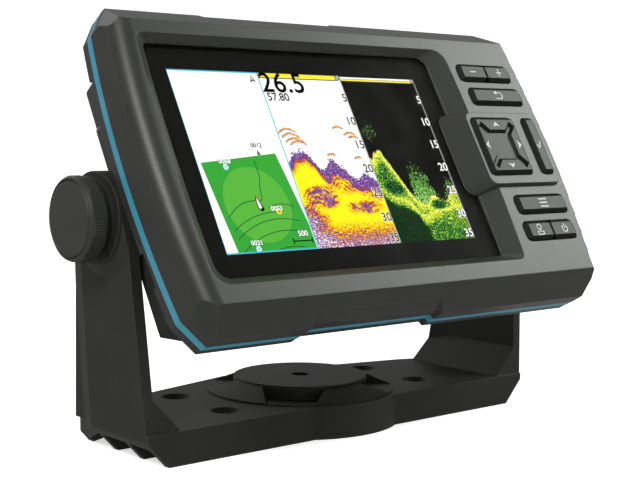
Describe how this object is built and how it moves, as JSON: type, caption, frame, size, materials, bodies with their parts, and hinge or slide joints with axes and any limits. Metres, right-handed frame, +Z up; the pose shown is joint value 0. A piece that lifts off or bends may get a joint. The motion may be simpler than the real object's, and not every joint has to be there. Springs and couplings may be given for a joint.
{
  "type": "chartplotter display",
  "caption": "Chartplotter display: a wide screen and side keys in a tilting case, held in a U-shaped bail bracket with clamp knobs and a drilled base.",
  "frame": {"origin": "where the axis of the base's centre hole meets the face the base stands on", "axes": "+X towards the user's right, along the tilt axis; -Y towards the user; +Z up, square to the mounting surface"},
  "size_m": [0.203, 0.0997, 0.1423],
  "materials": {
    "bracket_plastic": "fine-textured glass-filled plastic",
    "housing_plastic": "fine-textured plastic",
    "key_plastic": "satin keys with pale printed symbols",
    "knob_plastic": "fine-textured plastic",
    "accent_plastic": "satin blue",
    "rubber": "matt black",
    "steel": "turned",
    "brass": "machined",
    "pin_brass": "plated",
    "glass": "polished with a black printed edge",
    "lcd": "polished",
    "diffuser": "white films",
    "tray": "pressed sheet",
    "board": "green circuit board",
    "chips": "moulded packages",
    "film": "amber film",
    "ceramic": "ceramic"
  },
  "bodies": {
    "bracket": {"bail_bracket": "bracket_plastic", "tilt_washer_left": "rubber", "tilt_washer_right": "rubber"},
    "head": {"front_bezel": "housing_plastic", "accent_strip": "accent_plastic", "case_gasket": "rubber", "rear_housing": "housing_plastic", "pivot_insert_left": "brass", "pivot_insert_right": "brass", "glass_adhesive": "rubber", "cover_glass": "glass", "lcd_panel": "lcd", "backlight_stack": "diffuser", "lcd_frame": "tray", "lcd_flex": "film", "main_board": "board", "main_board_chips": "chips", "shield_can": "tray", "gps_antenna": "ceramic", "buzzer": "chips", "backup_cell": "steel", "key_board": "board", "key_switches": "pin_brass", "keypad_membrane": "rubber", "board_ribbon": "film", "power_socket": "chips", "power_pins": "pin_brass", "transducer_socket": "chips", "transducer_pins": "pin_brass", "socket_seals": "rubber", "socket_nuts": "knob_plastic", "vent_plug": "chips", "case_screws": "steel", "board_screws": "steel", "key_board_screws": "steel"},
    "knob_washer_left": {"knob_washer_left": "rubber"},
    "clamp_knob_left": {"knob_left": "knob_plastic", "knob_stud_left": "steel"},
    "knob_washer_right": {"knob_washer_right": "rubber"},
    "clamp_knob_right": {"knob_right": "knob_plastic", "knob_stud_right": "steel"},
    "key_minus": {"key_minus": "key_plastic"},
    "key_plus": {"key_plus": "key_plastic"},
    "key_back": {"key_back": "key_plastic"},
    "key_select": {"key_select": "key_plastic"},
    "key_menu": {"key_menu": "key_plastic"},
    "key_mark": {"key_mark": "key_plastic"},
    "key_power": {"key_power": "key_plastic"},
    "dpad_rocker": {"dpad_actuator": "chips"},
    "dpad": {"key_dpad": "key_plastic"}
  },
  "joints": [
    {"name": "head_tilt", "type": "hinge", "parent": "bracket", "child": "head", "pos_m": [0, -0.0113, 0.077], "axis": [1, 0, 0], "range_deg": [-45, 25]},
    {"name": "knob_travel_left", "type": "slide", "parent": "head", "child": "knob_washer_left", "axis": [-1, 0, 0], "range_m": [0, 0.0061]},
    {"name": "knob_turn_left", "type": "hinge", "parent": "knob_washer_left", "child": "clamp_knob_left", "pos_m": [-0.098, -0.0113, 0.077], "axis": [-1, 0, 0], "range_deg": [0, 2160]},
    {"name": "knob_travel_right", "type": "slide", "parent": "head", "child": "knob_washer_right", "axis": [1, 0, 0], "range_m": [0, 0.0061]},
    {"name": "knob_turn_right", "type": "hinge", "parent": "knob_washer_right", "child": "clamp_knob_right", "pos_m": [0.098, -0.0113, 0.077], "axis": [1, 0, 0], "range_deg": [0, 2160]},
    {"name": "key_minus_press", "type": "slide", "parent": "head", "child": "key_minus", "axis": [0, 0.866, -0.5], "range_m": [0, 0.0007], "stiffness_N_per_m": 800},
    {"name": "key_plus_press", "type": "slide", "parent": "head", "child": "key_plus", "axis": [0, 0.866, -0.5], "range_m": [0, 0.0007], "stiffness_N_per_m": 800},
    {"name": "key_back_press", "type": "slide", "parent": "head", "child": "key_back", "axis": [0, 0.866, -0.5], "range_m": [0, 0.0007], "stiffness_N_per_m": 800},
    {"name": "key_select_press", "type": "slide", "parent": "head", "child": "key_select", "axis": [0, 0.866, -0.5], "range_m": [0, 0.0007], "stiffness_N_per_m": 800},
    {"name": "key_menu_press", "type": "slide", "parent": "head", "child": "key_menu", "axis": [0, 0.866, -0.5], "range_m": [0, 0.0007], "stiffness_N_per_m": 800},
    {"name": "key_mark_press", "type": "slide", "parent": "head", "child": "key_mark", "axis": [0, 0.866, -0.5], "range_m": [0, 0.0007], "stiffness_N_per_m": 800},
    {"name": "key_power_press", "type": "slide", "parent": "head", "child": "key_power", "axis": [0, 0.866, -0.5], "range_m": [0, 0.0007], "stiffness_N_per_m": 800},
    {"name": "dpad_rock_up_down", "type": "hinge", "parent": "head", "child": "dpad_rocker", "pos_m": [0.0623, -0.03583, 0.09671], "axis": [1, 0, 0], "range_deg": [-2, 2], "stiffness_Nm_per_rad": 0.05},
    {"name": "dpad_rock_left_right", "type": "hinge", "parent": "dpad_rocker", "child": "dpad", "pos_m": [0.0623, -0.03583, 0.09671], "axis": [0, 0.5, 0.866], "range_deg": [-2, 2], "stiffness_Nm_per_rad": 0.05}
  ],
  "couplings": [
    {"joint": "knob_travel_left", "follows": "knob_turn_left", "m_per_rad": 0.00015915},
    {"joint": "knob_travel_right", "follows": "knob_turn_right", "m_per_rad": 0.00015915}
  ]
}
